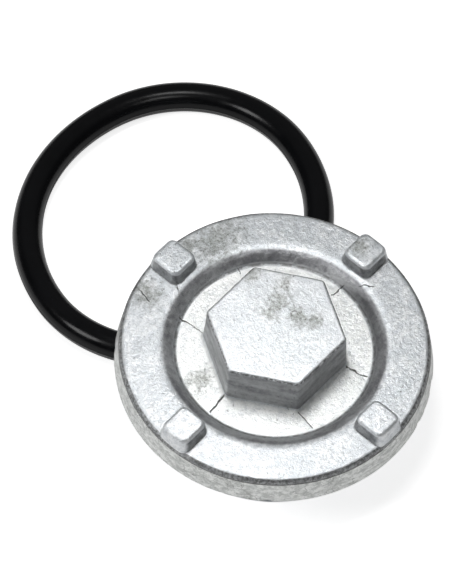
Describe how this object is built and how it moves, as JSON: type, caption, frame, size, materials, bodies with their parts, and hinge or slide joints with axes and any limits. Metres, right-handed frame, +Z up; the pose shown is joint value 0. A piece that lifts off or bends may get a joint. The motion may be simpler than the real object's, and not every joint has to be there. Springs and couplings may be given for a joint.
{
  "type": "oil drain plug",
  "caption": "Cast aluminium oil drain plug with a hexagon head, a round lugged flange and a hollow threaded skirt, leaning on its loose black rubber sealing ring.",
  "frame": {"origin": "middle of the pair's footprint, on the surface that both lie on", "axes": "+Z up from that surface, +Y from the plug at the front towards the ring behind it, +X to the right"},
  "size_m": [0.0472, 0.0806, 0.0222],
  "materials": {
    "cast_aluminium": "as cast, semi-rough, lightly stained",
    "black_rubber": "smooth moulded, semi-gloss"
  },
  "bodies": {
    "root": {"plug": "cast_aluminium", "o_ring": "black_rubber"}
  },
  "joints": []
}
